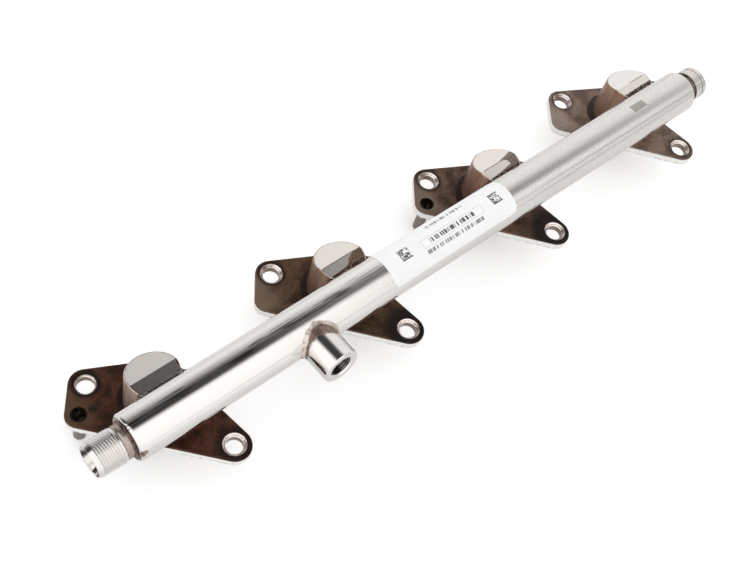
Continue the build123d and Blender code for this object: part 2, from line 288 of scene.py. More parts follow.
# %% The tent
GAP_NORMAL = (0.675, 0.608, -0.418)
GAP_EDGES = [(0.24, -0.3), (0.36, -0.235), (0.44, -0.19),
             (0.58, -0.115), (0.64, -0.08), (0.68, -0.02)]
GAP_SOFTS = [(0.44, 0.09), (0.58, 0.035)]
DARK_LEVELS = [(0.34, 0.05), (0.44, 0.19), (0.58, 0.27), (0.63, 0.4), (0.69, 0.62)]
BACK_LEVELS = [(0.07, 0.0), (0.25, 0.16), (0.49, 0.62), (0.69, 0.88), (1.0, 1.0)]
BACK_REACH = [(0.42, 1.0), (0.58, 2.15)]
BACK_TOPS = [(0.44, 1.05), (0.58, 0.94)]
FRONT_LEVELS = [(0.36, 1.25), (0.56, 0.94)]
FRONT_SLOPE = [(-5.0, 0.92), (50.0, 1.0)]
SEAM_TURN = 29.2
SEAM_WIDTH = 8.0
SEAM_LEVELS = [(0.45, 0.0), (0.7, 0.7)]
WHITE = (1.0, 1.0, 1.0, 1.0)


def tent_front(sky, parts):
    """The front of the tent, nearly even, with the soft shade of one seam in it."""
    ahead = add(sky, "Math", parts["Y"], -1.0, operation="MULTIPLY")
    turn = add(sky, "Math", parts["Z"], ahead, operation="ARCTAN2")
    turn = add(sky, "Math", turn, operation="DEGREES")
    from_seam = add(sky, "Math", turn, SEAM_TURN, operation="SUBTRACT")
    from_seam = add(sky, "Math", from_seam, operation="ABSOLUTE")
    seam = product(sky, edge(sky, from_seam, SEAM_WIDTH, 0.0),
                   levels(sky, parts["X"], SEAM_LEVELS))
    return product(sky, levels(sky, parts["X"], FRONT_LEVELS), levels(sky, turn, FRONT_SLOPE),
                   add(sky, "Math", 1.0, seam, operation="SUBTRACT"))


def tent_back(sky, parts, from_gap):
    """The back of the tent, dark at the gap and brighter away from it."""
    reach = add(sky, "Math", from_gap, levels(sky, parts["X"], BACK_REACH), operation="MULTIPLY")
    return add(sky, "Mix", levels(sky, reach, BACK_LEVELS), None,
               levels(sky, parts["X"], DARK_LEVELS), levels(sky, parts["X"], BACK_TOPS))


def white_tent():
    """A world of level 1 for every ray but the glossy ones, which see the tent."""
    world = bpy.data.worlds.new("white_tent")
    world.use_nodes = True
    sky = world.node_tree
    sky.nodes.clear()
    direction = add(sky, "TexCoord").outputs["Generated"]
    parts = add(sky, "SeparateXYZ", direction).outputs
    from_gap = add(sky, "VectorMath", direction, GAP_NORMAL,
                   operation="DOT_PRODUCT").outputs["Value"]
    past_edge = add(sky, "Math", from_gap, levels(sky, parts["X"], GAP_EDGES),
                    operation="SUBTRACT")
    past_edge = add(sky, "Math", past_edge, levels(sky, parts["X"], GAP_SOFTS),
                    operation="DIVIDE")
    tent = add(sky, "Mix", edge(sky, past_edge, -1.0, 1.0), None, tent_front(sky, parts),
               tent_back(sky, parts, from_gap))
    level = add(sky, "Mix", add(sky, "LightPath").outputs["Is Glossy Ray"], None, 1.0, tent)
    add(sky, "OutputWorld", add(sky, "Background", WHITE, level))
    return world


bpy.context.scene.world = white_tent()
print("nodes in the tent:", len(bpy.context.scene.world.node_tree.nodes))

# %% [markdown]
# ## Floor
# The floor is white paper. The camera sees it white, with the object's shadow softened.
# Polished steel shows it a little greyer near the object, where that shadow lies, and
# brighter far in front, where it curves up to the tent. The two lists give how much
# brighter by the distance in front, and where along the tube that counts.

# %% Floor
FLOOR_SIZE = 6000.0
FLOOR_MIDDLE = 120.0
FLOOR_GAP = 0.02
SHADOW_LIFT = 0.2
FRONT_LIFT = [(90.0, 0.02), (240.0, 0.25)]
LIFT_REACH = [(20.0, 1.0), (140.0, 0.0)]


def paper_finish():
    """Matt white paper, brighter to the camera and, far in front, to polished steel."""
    material, tree, shader, place, axes = new_finish("white_paper")
    rays = add(tree, "LightPath").outputs
    paper = add(tree, "MixRGB", rays["Is Camera Ray"], linear("#ececec"), linear("#ffffff"))
    in_front = add(tree, "Math", axes["Y"], -1.0, operation="MULTIPLY")
    lift = product(tree, rays["Is Glossy Ray"], levels(tree, in_front, FRONT_LIFT),
                   levels(tree, axes["X"], LIFT_REACH))
    lift = add(tree, "Math", rays["Is Camera Ray"], SHADOW_LIFT, lift, operation="MULTIPLY_ADD")
    fill(tree, shader, {"Base Color": paper, "Roughness": 0.9, "Specular IOR Level": 0.0,
                        "Emission Color": WHITE, "Emission Strength": lift})
    return material


bpy.ops.mesh.primitive_plane_add(size=FLOOR_SIZE * MM)
floor = bpy.context.object
floor.name = "floor"
floor.location = (FLOOR_MIDDLE * MM, 0, cad_box[0].z - FLOOR_GAP * MM)
floor.data.materials.append(paper_finish())
print("floor at", round(floor.location.z / MM, 2), "mm")

# %% [markdown]
# ## Steel of the tube
# The tube is drawn stainless steel, ground to a satin. It is smooth near the inlet and
# grows duller towards the closed end, and its fine lines run along it. Dark streaks along
# its top near the inlet are a painted reflection of the tent's dark gap, and one patch near
# the closed end was etched dull. All of it is one finish, because masks made from the place
# say where each of these begins.

# %% Tube
DULL_STRETCH = (30.0, 150.0)
GAP_STREAK_STRETCH = (130.0, 60.0)
PATCH_START, PATCH_END = 241.0, 249.6
PATCH_LOW, PATCH_HIGH = 84.0, 108.0


def tube_finish():
    """Drawn steel: cloudy tone, painted reflection streaks along the top, an etched patch, a heated
    end.
    """
    material, tree, shader, place, axes = new_finish("satin_drawn_steel")
    lines = grain(tree, place, 0.5, stretch=(0.02, 1, 1), detail=4)
    cloud = grain(tree, place, 9.0, stretch=(0.3, 1, 1), detail=2, seed=4)
    speckle = grain(tree, place, 0.5, detail=3, seed=9)
    streaks = grain(tree, place, 0.8, stretch=(0.05, 1, 1), detail=2, seed=7)
    angle = tube_angle(tree, axes)
    dull = edge(tree, axes["X"], *DULL_STRETCH)
    worn = product(tree, edge(tree, speckle, 0.4, 0.8), dull, 0.45)
    # Painted reflection: dark streaks where the tent's dark gap is mirrored on the top near the
    # inlet.
    gap_reflection_streaks = product(tree, edge(tree, streaks, 0.5, 0.62), edge(tree, angle, 80, 86),
                    edge(tree, angle, 112, 100), edge(tree, axes["X"], *GAP_STREAK_STRETCH), 0.75)
    patch = product(tree, edge(tree, axes["X"], PATCH_START, PATCH_START + 0.3),
                    edge(tree, axes["X"], PATCH_END, PATCH_END - 0.3),
                    edge(tree, angle, PATCH_LOW, PATCH_LOW + 1.5),
                    edge(tree, angle, PATCH_HIGH, PATCH_HIGH - 1.5), 0.9)
    patch_tone = laid_over(tree, linear("#7f7a74"), (edge(tree, cloud, 0.45, 0.55), "#a8a39c"))
    radius = from_line(tree, place, *TUBE_LINE)
    end_face = product(tree, edge(tree, radius, TUBE_RADIUS - 0.5, TUBE_RADIUS - 1.1), 0.8)
    colour = laid_over(tree, linear("#f1eeea"), (cloud, "#e6e1dd"), (worn, "#b9b4b0"),
                       (gap_reflection_streaks, "#5c544f"), (patch, patch_tone), (end_face, "#4d3a32"))
    rough = add(tree, "MapRange", dull, 0, 1, 0.08, 0.14)
    rough = add(tree, "Math", lines, 0.08, rough, operation="MULTIPLY_ADD")
    rough = add(tree, "Math", speckle, product(tree, dull, 0.05), rough,
                operation="MULTIPLY_ADD")
    relief = add(tree, "Math", speckle, product(tree, dull, 0.6), lines,
                 operation="MULTIPLY_ADD")
    coat(tree, shader, colour, 1.0, rough, relief, strength=0.55, depth=0.02)
    return material


dress("rail_tube", tube_finish())

# %% [markdown]
# ## Forged holders
# A holder is one forging. Its skin is brown scale from the furnace, with a painted highlight
# along the rounded top edge, and darker round the holes, where brazing flux has burnt. The
# cup was turned, so its side shows the steel through a thin tint, and its top was milled:
# flat beside the tube, and sloping behind. To the eye the skin is partly metal and the milled
# top wholly.
# Every zone is a mask made from the place on the holder, counted from its own axis.

# %% Skin of the plate
REAR_HALO = (6.8, 5.0)


def plate_colour(tree, own, parts, tones, number):
    """Scale on the plate: blotches, a painted highlight on the top edge, a paler left end, burnt
    rings, bright sides.

    Gives the colour, the mask of the plate's side, and the lumps and pits for the relief.
    """
    height = parts["Z"]
    lumps = grain(tree, own, 7.0, detail=4, seed=number * 13.0)
    mottle = grain(tree, own, 1.6, detail=4, seed=number * 3.0)
    pits = grain(tree, own, 0.8, detail=3, seed=number * 5.0)
    specks = grain(tree, own, 1.1, detail=1, seed=number * 17.0)
    ragged_x = add(tree, "Math", lumps, 5.0, parts["X"], operation="MULTIPLY_ADD")
    left_end = product(tree, edge(tree, ragged_x, -14.0, -22.0), edge(tree, parts["Y"], 1.0, 9.0))
    # Painted highlight on the rounded top edge, broken up by the mottle.
    edge_highlight = product(tree, edge(tree, height, PLATE_TOP - 0.05, PLATE_TOP - 0.3),
                     edge(tree, mottle, 0.3, 0.6))
    front_halo = edge(tree, in_plan(tree, own, FRONT_BOLT), *tones["halo"])
    rear_halo = product(tree, edge(tree, in_plan(tree, own, REAR_BOLT), *REAR_HALO), 0.8)
    burnt = product(tree, edge(tree, height, PLATE_TOP - 0.6, PLATE_TOP - 0.3),
                    add(tree, "Math", front_halo, rear_halo, operation="MAXIMUM"))
    side = edge(tree, height, PLATE_TOP - 0.55, PLATE_TOP - 0.9)
    # Darker towards the bottom of the side, in mottled patches.
    low_darkening = product(tree, edge(tree, height, 0.9, 0.2), edge(tree, mottle, 0.4, 0.6), 0.7)
    side_tone = laid_over(tree, linear("#fffdfa"), (edge(tree, pits, 0.5, 0.8), "#d3c7bc"),
                          (low_darkening, "#b3a699"))
    colour = laid_over(
        tree, linear(tones["skin"]),
        (edge(tree, lumps, 0.4, 0.62), tones["dark"]),
        (product(tree, edge(tree, mottle, 0.5, 0.66), 0.55), tones["dark"]),
        (product(tree, edge(tree, specks, 0.34, 0.3), 0.35), tones["pale"]),
        (product(tree, left_end, 0.75), tones["pale"]),
        (product(tree, edge_highlight, 0.3), tones["pale"]),
        (product(tree, burnt, tones["burn"]), "#0f0502"),
        (product(tree, edge(tree, specks, 0.69, 0.74), 0.75), "#1b0d08"),
        (side, side_tone))
    return colour, side, lumps, pits


def hole_layers(tree, own, height, pits, bright_rims):
    """For each bolt hole a dark ring, a bright chamfer, a burr and a pinkish wall, darkened as
    painted shade.
    """
    layers = []
    chamfer_foot = PLATE_TOP - HOLE_CHAMFER
    for hole, bright in zip((REAR_BOLT, FRONT_BOLT), bright_rims):
        away = in_plan(tree, own, hole)
        ring = product(tree, edge(tree, away, FULL_RIM + 0.75, FULL_RIM + 0.4), 0.8)
        chamfer = edge(tree, away, bright + 0.08, bright - 0.02)
        burr = product(tree, edge(tree, away, HOLE_RADIUS + 0.75, HOLE_RADIUS + 0.6),
                       edge(tree, away, HOLE_RADIUS + 0.3, HOLE_RADIUS + 0.4),
                       edge(tree, pits, 0.35, 0.6), 0.75)
        # Painted shade: the wall is a darker pink, for the shade inside the hole.
        wall = product(tree, edge(tree, away, HOLE_RADIUS + 0.1, HOLE_RADIUS + 0.02),
                       edge(tree, height, chamfer_foot, chamfer_foot - 0.05))
        layers += [(ring, "#1a0c07"), (chamfer, "#f1e6e0"), (burr, "#6b5249"), (wall, "#97857c")]
    return layers


# %% [markdown]
# ## The cup's top
# The flat ends at the ridge, and the slope starts there. What the cutter didn't reach on
# the slope keeps the forging's skin, as a scar with a ragged border. A strip of braze runs
# along the flat's front end, and the rim was touched with a file.

# %% Top of the cup
FLAT_END = -5.65


def cup_top(tree, own, parts, away, tones, number):
    """Masks of the milled top and of its dull scars, the top's colour, and the rough noise.

    The slope's own height at a place is the cup's height less slope times the way past the
    ridge, and the place is on it where its height is hardly less than that.
    """
    x, y, height = parts["X"], parts["Y"], parts["Z"]
    on_top = edge(tree, height, CUP_HEIGHT - 0.06, CUP_HEIGHT - 0.03)
    flat = product(tree, on_top, edge(tree, y, BEVEL_RIDGE + 0.02, BEVEL_RIDGE - 0.02))
    slope_height = add(tree, "Math", y, -BEVEL_SLOPE, CUP_HEIGHT + BEVEL_RIDGE * BEVEL_SLOPE,
                       operation="MULTIPLY_ADD")
    under = add(tree, "Math", slope_height, height, operation="SUBTRACT")
    slope = product(tree, edge(tree, under, 0.08, 0.04),
                    edge(tree, y, BEVEL_RIDGE - 0.02, BEVEL_RIDGE + 0.02))
    milled = grain(tree, own, 0.3, stretch=(0.04, 1, 1), detail=2, seed=number)
    rough = grain(tree, own, 0.7, detail=4, seed=number * 7.0)

    past_border = add(tree, "Math", x, levels(tree, y, tones["border"]), operation="SUBTRACT")
    uneven_part = add(tree, "Math", rough, 0.5, operation="SUBTRACT")
    past_border = add(tree, "Math", uneven_part, 2.5, past_border, operation="MULTIPLY_ADD")
    scar = product(tree, edge(tree, past_border, -0.15, 0.15),
                   edge(tree, y, tones["scar_to"], tones["scar_to"] - 0.3))
    scar_tone = laid_over(tree, linear(tones["scar"]),
                          (edge(tree, rough, 0.4, 0.65), tones["scar_dark"]))

    from_ridge = add(tree, "Math", y, BEVEL_RIDGE, operation="SUBTRACT")
    from_ridge = add(tree, "Math", from_ridge, operation="ABSOLUTE")
    start, end = tones["ridge"]
    ridge = product(tree, edge(tree, from_ridge, 0.26, 0.12), edge(tree, x, start, start + 0.3),
                    edge(tree, x, end, end - 0.3), 0.8)

    strip_end = FLAT_END + tones["strip"]
    ragged_y = add(tree, "Math", rough, 1.6, y, operation="MULTIPLY_ADD")
    strip = product(tree, on_top, edge(tree, ragged_y, strip_end + 0.3, strip_end))
    strip_tone = laid_over(tree, linear("#3d2b25"), (edge(tree, rough, 0.5, 0.62), "#8d7a6e"))

    rim = product(tree, edge(tree, away, CUP_RADIUS - 0.3, CUP_RADIUS - 0.18),
                  edge(tree, away, CUP_RADIUS + 0.25, CUP_RADIUS + 0.05), 0.7)
    rim_shade = product(tree, edge(tree, away, CUP_RADIUS - 0.9, CUP_RADIUS - 0.45),
                        edge(tree, away, CUP_RADIUS - 0.28, CUP_RADIUS - 0.4),
                        edge(tree, rough, 0.4, 0.6), 0.6)
    colour = laid_over(
        tree, linear(tones["flat"]), (slope, tones["slope"]),
        (product(tree, milled, 0.25), "#a8a09a"), (rim_shade, tones["scar_dark"]),
        (scar, scar_tone), (ridge, "#57463c"), (strip, strip_tone), (rim, "#f4ece6"))
    top = add(tree, "Math", flat, slope, operation="MAXIMUM")
    dull = add(tree, "Math", scar, strip, operation="MAXIMUM")
    return top, dull, colour, rough


# %% [markdown]
# ## The whole holder
# The cup's side is laid over the skin, then the dark ring at its root, dark flux with painted
# shade in the crease, then the dowel's hole, the bolt holes and the top. The same masks tell
# how metallic and how rough each zone is. Holder 1 has one more dark spot beside its cup:
# the painted shade of a shallow dent.

# %% Holder finish
ROOT_RING = 12.0
DENT = (-19.3, 9.0)


def holder_finish(number, x, tones):
    """Forged and furnace-browned steel with a turned, tinted cup and a milled top."""
    material, tree, shader, place, axes = new_finish(f"forged_steel_{number}")
    fill(tree, shader, {"Specular IOR Level": 0.3})
    own = add(tree, "VectorMath", place, (-x, 0.0, 0.0), operation="ADD")
    parts = add(tree, "SeparateXYZ", own).outputs
    height = parts["Z"]
    away = in_plan(tree, own, (0.0, 0.0))
    colour, side, lumps, pits = plate_colour(tree, own, parts, tones, number)

    turned = grain(tree, own, 0.6, stretch=(1, 1, 0.06), detail=4, seed=number)
    on_cup = product(tree, edge(tree, height, PLATE_TOP + 1.2, PLATE_TOP + 2.0),
                     edge(tree, away, CUP_RADIUS + 0.5, CUP_RADIUS + 0.1))
    rising = add(tree, "MapRange", height, PLATE_TOP + 2.0, CUP_HEIGHT, 0.55, 0.0)
    flank = laid_over(tree, linear(tones["flank"]),
                      (edge(tree, turned, 0.3, 0.8), tones["flank_dark"]), (rising, tones["dark"]))
    ragged_away = add(tree, "Math", lumps, 3.0, away, operation="MULTIPLY_ADD")
    # The ring at the cup's root: dark flux, with painted shade in the crease.
    root = product(tree, edge(tree, ragged_away, ROOT_RING + 2.4, ROOT_RING + 1.6),
                   edge(tree, height, PLATE_TOP + 2.6, PLATE_TOP + 1.0), 0.85)
    colour = laid_over(tree, colour, (on_cup, flank), (root, "#1d0f0a"))
    if number == 1:
        # Painted shade of a shallow dent beside holder 1's cup.
        dent_shade = product(tree, edge(tree, in_plan(tree, own, DENT), 2.6, 0.8), 0.6)
        colour = laid_over(tree, colour, (dent_shade, "#1b0d09"))
    if number in DOWEL_HOLDERS:
        dowel_hole = edge(tree, in_plan(tree, own, DOWEL), 3.3, 3.0)
        colour = laid_over(tree, colour, (dowel_hole, "#140803"))
    bright_rims = (tones["rear_rim"], FULL_RIM)
    colour = laid_over(tree, colour, *hole_layers(tree, own, height, pits, bright_rims))
    top, dull, top_colour, rough = cup_top(tree, own, parts, away, tones, number)
    colour = laid_over(tree, colour, (top, top_colour))

    shiny_top = product(tree, top, add(tree, "Math", 1.0, dull, operation="SUBTRACT"))
    rear, front = (edge(tree, in_plan(tree, own, hole), bright + 0.1, bright)
                   for hole, bright in zip((REAR_BOLT, FRONT_BOLT), bright_rims))
    rings = add(tree, "Math", rear, front, operation="MAXIMUM")
    metal = add(tree, "Mix", on_cup, None, 0.3, 0.6)
    metal = add(tree, "Mix", side, None, metal, 0.15)
    metal = add(tree, "Mix", rings, None, metal, 0.85)
    metal = add(tree, "Mix", shiny_top, None, metal, 1.0)
    roughness = add(tree, "Mix", on_cup, None, 0.46, 0.34)
    roughness = add(tree, "Mix", rings, None, roughness, 0.22)
    roughness = add(tree, "Mix", shiny_top, None, roughness, 0.2)
    roughness = add(tree, "Math", pits, 0.1, roughness, operation="MULTIPLY_ADD")
    machined = add(tree, "Math", shiny_top, on_cup, operation="MAXIMUM")
    relief = add(tree, "Math", pits, 0.3, lumps, operation="MULTIPLY_ADD")
    relief = add(tree, "Mix", machined, None, relief, 0.5)
    relief = add(tree, "Math", product(tree, dull, rough), 1.0, relief, operation="MULTIPLY_ADD")
    coat(tree, shader, colour, metal, roughness, relief, strength=0.5, depth=0.25)
    return material


# %% [markdown]
# ## Tones of the four holders
# Each holder took its own heat, and the milling left each cup another scar. For each:
#
# - skin, dark and pale: its scale; flank and flank_dark: the cup's side
# - flat and slope: the top; scar and scar_dark: the skin that the cutter left
# - burn: how dark the front hole's halo is; halo: the radii where it ends and is full
# - rear_rim: how far the rear hole's chamfer is bright
# - border: points of y and x that the scar starts from; scar_to: the y where it ends
# - ridge: where along x the ridge shows as a dark line; strip: how wide the braze is

# %% Holders
NO_BORDER = [(-6.0, 30.0), (6.0, 30.0)]
NO_RIDGE = (20.0, 21.0)
HOLDER_TONES = [
    {"skin": "#55301f", "dark": "#32170c", "pale": "#5e4932",
     "flank": "#d8c2b6", "flank_dark": "#a88c7e", "flat": "#d2ccc8", "slope": "#e0dad5",
     "scar": "#4c3833", "scar_dark": "#2d1f1c", "burn": 0.8, "halo": (9.5, 5.5),
     "rear_rim": 4.1, "border": [(-6.0, 9.4), (-1.0, 9.0), (1.0, 12.0)],
     "scar_to": 0.3, "ridge": NO_RIDGE, "strip": 0.7},
    {"skin": "#5d4431", "dark": "#3d2818", "pale": "#806d5b",
     "flank": "#b59280", "flank_dark": "#86624f", "flat": "#f2ece6", "slope": "#f2ece6",
     "scar": "#87705f", "scar_dark": "#5d4636", "burn": 0.95, "halo": (13.5, 7.5),
     "rear_rim": FULL_RIM,
     "border": [(-5.1, -6.2), (-4.3, 0.5), (-2.0, 2.9), (-0.4, 6.3), (0.6, 9.5)],
     "scar_to": -0.1, "ridge": (-9.0, 7.0), "strip": 1.3},
    {"skin": "#6c5343", "dark": "#463125", "pale": "#827062",
     "flank": "#b08a79", "flank_dark": "#7f5a4a", "flat": "#fff8f0", "slope": "#f5eee8",
     "scar": "#8d8178", "scar_dark": "#75695f", "burn": 0.92, "halo": (16.0, 8.5),
     "rear_rim": FULL_RIM,
     "border": [(-5.0, -7.4), (-4.6, -2.1), (-3.5, 5.1), (-1.3, 4.6), (0.3, 2.0),
                (1.1, 6.0), (2.0, 9.5)],
     "scar_to": 2.0, "ridge": (-8.5, 3.0), "strip": 1.2},
    {"skin": "#8d7668", "dark": "#68554b", "pale": "#a39187",
     "flank": "#b5927f", "flank_dark": "#8a6756", "flat": "#f8f1ea", "slope": "#faf5f1",
     "scar": "#8d8178", "scar_dark": "#a5988d", "burn": 0.45, "halo": (9.0, 5.5),
     "rear_rim": FULL_RIM, "border": NO_BORDER,
     "scar_to": -6.0, "ridge": (-1.5, 8.0), "strip": 2.0},
]
for number, (x, tones) in enumerate(zip(INJECTORS, HOLDER_TONES), start=1):
    dress(f"injector_holder_{number}", holder_finish(number, x, tones))

# %% [markdown]
# ## Turned steel
# The boss, the end fitting and the dowels are turned or ground bars. Heat from the brazing
# left a brown tint near the joints, and each piece says where with a mask of its own.

# %% Finish of turned pieces
def turned_finish(name, tone, dark, heat_mask, tint, ring_axis, roughness, bore=None, spots=0.3):
    """Turned steel with fine rings, a heat tint where heat_mask is 1, and a bore darkened by
    painted shade.

    The bore is given as its line's point and direction, its radius and its two tones, a painted
    shade and a painted reflection, which lie in streaks along it. Bright spots show through the
    tint by the share in spots.
    """
    material, tree, shader, place, axes = new_finish(name)
    across, along = (tuple(own if axis == ring_axis else other for axis in "XYZ")
                     for own, other in ((1.0, 0.06), (0.06, 1.0)))
    rings = grain(tree, place, 0.35, stretch=across, detail=3)
    cloud = grain(tree, place, 1.6, detail=3, seed=3)
    heat = product(tree, heat_mask(tree, place, axes),
                   add(tree, "MapRange", cloud, 0.3, 0.7, 0.75, 1.1))
    bare = product(tree, edge(tree, cloud, 0.52, 0.66), spots)
    heat_tone = laid_over(tree, linear(tint), (bare, tone))
    colour = laid_over(tree, linear(tone), (rings, dark), (heat, heat_tone))
    if bore:
        point, direction, radius, bore_shade_tone, bore_reflection_tone = bore
        # Painted shade in the bore, with streaks of painted reflection.
        away = from_line(tree, place, point, direction)
        streaks = grain(tree, place, 4.0, stretch=along, detail=1, seed=5)
        bore_shade_and_reflections = laid_over(tree, linear(bore_shade_tone),
                              (edge(tree, streaks, 0.42, 0.58), bore_reflection_tone))
        inside = edge(tree, away, radius + 0.06, radius - 0.04)
        colour = laid_over(tree, colour, (inside, bore_shade_and_reflections))
    rough = add(tree, "MapRange", heat, 0, 1, roughness, 0.42)
    rough = add(tree, "Math", rings, 0.06, rough, operation="MULTIPLY_ADD")
    coat(tree, shader, colour, 1.0, rough, rings, strength=0.15, depth=0.02)
    return material


# %% Boss, end fitting and dowels
def boss_heat(tree, place, axes):
    """1 on the boss's foot, as far out from the tube as the brazing heat browned it.

    That is a ragged line, and it lies further out on the side towards the closed end.
    """
    ragged = add(tree, "Math", grain(tree, place, 2.5, detail=2, seed=8), 2.4,
                 from_line(tree, place, *TUBE_LINE), operation="MULTIPLY_ADD")
    beside = add(tree, "Math", axes["X"], BOSS_X, operation="SUBTRACT")
    slanted = add(tree, "Math", beside, -0.17, ragged, operation="MULTIPLY_ADD")
    return edge(tree, slanted, TUBE_RADIUS + 4.9, TUBE_RADIUS + 4.2)


def neck_heat(tree, place, axes):
    """1 on the end fitting's neck."""
    return edge(tree, axes["X"], TUBE_END + 4.4, TUBE_END + 3.2)


def dowel_heat(tree, place, axes):
    """1 near the plate that the dowel is pressed into."""
    return edge(tree, axes["Z"], -2, 1)


# The boss's bore: painted shade, with streaks of painted reflection.
boss_bore = (BOSS_FOOT, BOSS_OUT, SENSOR_BORE + 0.15, "#2b2623", "#77706a")
boss_steel = turned_finish("turned_boss_steel", "#f3f0ee", "#e0dbd8", boss_heat, "#7d6152",
                           "Y", roughness=0.07, bore=boss_bore)
dress("sensor_boss", boss_steel)
dress("end_fitting", turned_finish("turned_end_steel", "#f2eeea", "#cdc5be", neck_heat,
                                   "#74645a", "X", roughness=0.08))
for number in DOWEL_HOLDERS:
    dress(f"locating_dowel_{number}",
          turned_finish(f"ground_dowel_steel_{number}", "#a39a94", "#7f7670", dowel_heat,
                        "#140a08", "Z", roughness=0.3, spots=0.0))

# %% [markdown]
# ## Braze
# Copper braze flows into the joints and darkens with flux. It is dull and uneven. One
# finish with lumps in two tones serves every joint, and only tones and lumps differ.

# %% Braze finish
def braze_finish(name, light, dark, lump=1.1, contact=None, metallic=0.6):
    """Dull lumpy braze, with a dark flux line within the contact radius of a line."""
    material, tree, shader, place, axes = new_finish(name)
    blobs = grain(tree, place, lump, detail=3, seed=2)
    colour = laid_over(tree, linear(light), (edge(tree, blobs, 0.42, 0.68), dark))
    if contact:
        point, direction, radius = contact
        away = from_line(tree, place, point, direction)
        near = product(tree, edge(tree, away, radius + 0.35, radius - 0.05), 0.85)
        colour = laid_over(tree, colour, (near, "#4a342a"))
    rough = add(tree, "MapRange", blobs, 0.2, 0.8, 0.28, 0.5)
    coat(tree, shader, colour, metallic, rough, blobs, strength=0.45, depth=0.3)
    return material


seam_braze = braze_finish("fluxed_braze", "#574439", "#2a1b16", metallic=0.3)
for number in (1, 2, 3, 4):
    dress(f"braze_holder_{number}", seam_braze)
dress("braze_end", braze_finish("end_fluxed_braze", "#8f8379", "#54473e", metallic=0.45))

# %% [markdown]
# ## Label
# The label is white film with rows of plain bars and two squares of random cells. They
# are drawn by nodes too: the tube's skin is unrolled and cut into cells, and white noise
# makes each cell dark or not. Places are millimetres from the label's start and degrees
# round the tube. A row is its start, end, lower and upper angle, and how dark it is.

# %% Label
LABEL_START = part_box("rail_label")[0].x / MM
CODE_CELL = 0.42
CODE_SIDE = 12 * CODE_CELL
CODE_STARTS = (7.8, 57.4)
CODE_ANGLES = (75, 105)
BAR_CELL = (0.36, 50.0, 1.0)
BAR_ROWS = [(26.0, 46.0, 118, 128, 0.7), (23.0, 47.0, 79, 91, 0.92), (19.0, 50.6, 58, 68, 0.7)]
RULE_BOX = (18.9, 51.9, 73, 97)
RULE_WIDTH, RULE_TURN = 0.3, 1.8


def label_window(tree, along, angle, start, end, low, high):
    """1 between start and end along the label and between low and high round it."""
    return product(tree, edge(tree, along, start, start + 0.02), edge(tree, along, end, end - 0.02),
                   edge(tree, angle, low, low + 0.3), edge(tree, angle, high, high - 0.3))


def label_marks(tree, along, angle, random_cell, random_bar):
    """Masks of all that is drawn: code squares with two solid sides, bars, and a box."""
    low = CODE_ANGLES[0]
    for start in CODE_STARTS:
        inside = label_window(tree, along, angle, start, start + CODE_SIDE, *CODE_ANGLES)
        solid = add(tree, "Math", edge(tree, along, start + CODE_CELL, start + CODE_CELL - 0.02),
                    edge(tree, angle, low + 3.0, low + 2.8), operation="MAXIMUM")
        cells = add(tree, "Math", random_cell, solid, operation="MAXIMUM")
        yield product(tree, inside, cells, 0.92)
    for *window, weight in BAR_ROWS:
        yield product(tree, label_window(tree, along, angle, *window), random_bar, weight)
    start, end, low, high = RULE_BOX
    outer = label_window(tree, along, angle, start, end, low, high)
    inner = label_window(tree, along, angle, start + RULE_WIDTH, end - RULE_WIDTH,
                         low + RULE_TURN, high - RULE_TURN)
    yield product(tree, add(tree, "Math", outer, inner, operation="SUBTRACT"), 0.25)


def label_finish():
    """White film with plain bars and two squares of random cells in dark ink."""
    material, tree, shader, place, axes = new_finish("white_label_film")
    angle = tube_angle(tree, axes)
    along = add(tree, "Math", axes["X"], LABEL_START, operation="SUBTRACT")
    girth = add(tree, "Math", angle, math.radians(TUBE_RADIUS), operation="MULTIPLY")
    flat_place = add(tree, "CombineXYZ", axes["X"], girth, 0.0)
    code_corner = add(tree, "VectorMath", flat_place, (CODE_CELL,) * 3, operation="SNAP")
    random_cell = edge(tree, add(tree, "TexWhiteNoise", code_corner), 0.479, 0.48)
    bar_corner = add(tree, "VectorMath", flat_place, BAR_CELL, operation="SNAP")
    random_bar = edge(tree, add(tree, "TexWhiteNoise", bar_corner), 0.419, 0.42)
    ink = 0.0
    for mark in label_marks(tree, along, angle, random_cell, random_bar):
        ink = add(tree, "Math", ink, mark, operation="MAXIMUM")
    scuffs = grain(tree, place, 5.0, detail=5, seed=6)
    colour = laid_over(tree, linear("#fdfdfd"), (scuffs, "#f4f5f6"), (ink, "#3a3a3c"))
    coat(tree, shader, colour, 0.0, 0.5, scuffs, strength=0.15, depth=0.2)
    return material


dress("rail_label", label_finish())

# %% [markdown]
# ## Surfaces from arrays
# Every new piece is a ring: a closed section carried round an axis. Its points are one
# numpy array of rows and columns, and the faces join neighbours both ways, so there is no
# seam and no pole.

# %% Helpers for ring surfaces
def ring_piece(name, points, material, replaced=()):
    """Makes a piece from points[row, column, xyz] in millimetres, joined round both ways."""
    rows, columns = points.shape[:2]
    row, column = np.meshgrid(np.arange(rows), np.arange(columns), indexing="ij")
    ahead, beside = (row + 1) % rows, (column + 1) % columns
    corners = (row * columns + column, ahead * columns + column, ahead * columns + beside,
               row * columns + beside)
    faces = np.stack(corners, -1).reshape(-1, 4)
    mesh = bpy.data.meshes.new(name)
    mesh.from_pydata((points.reshape(-1, 3) * MM).tolist(), [], faces.tolist())
    mesh.polygons.foreach_set("use_smooth", np.ones(len(faces), bool))
    mesh.update()
    mesh.materials.append(material)
    piece = bpy.data.objects.new(name, mesh)
    bpy.context.scene.collection.objects.link(piece)
    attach(piece, "root")
    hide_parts(*replaced)
    print(name, "faces", len(faces), "in", material.name)
    return piece


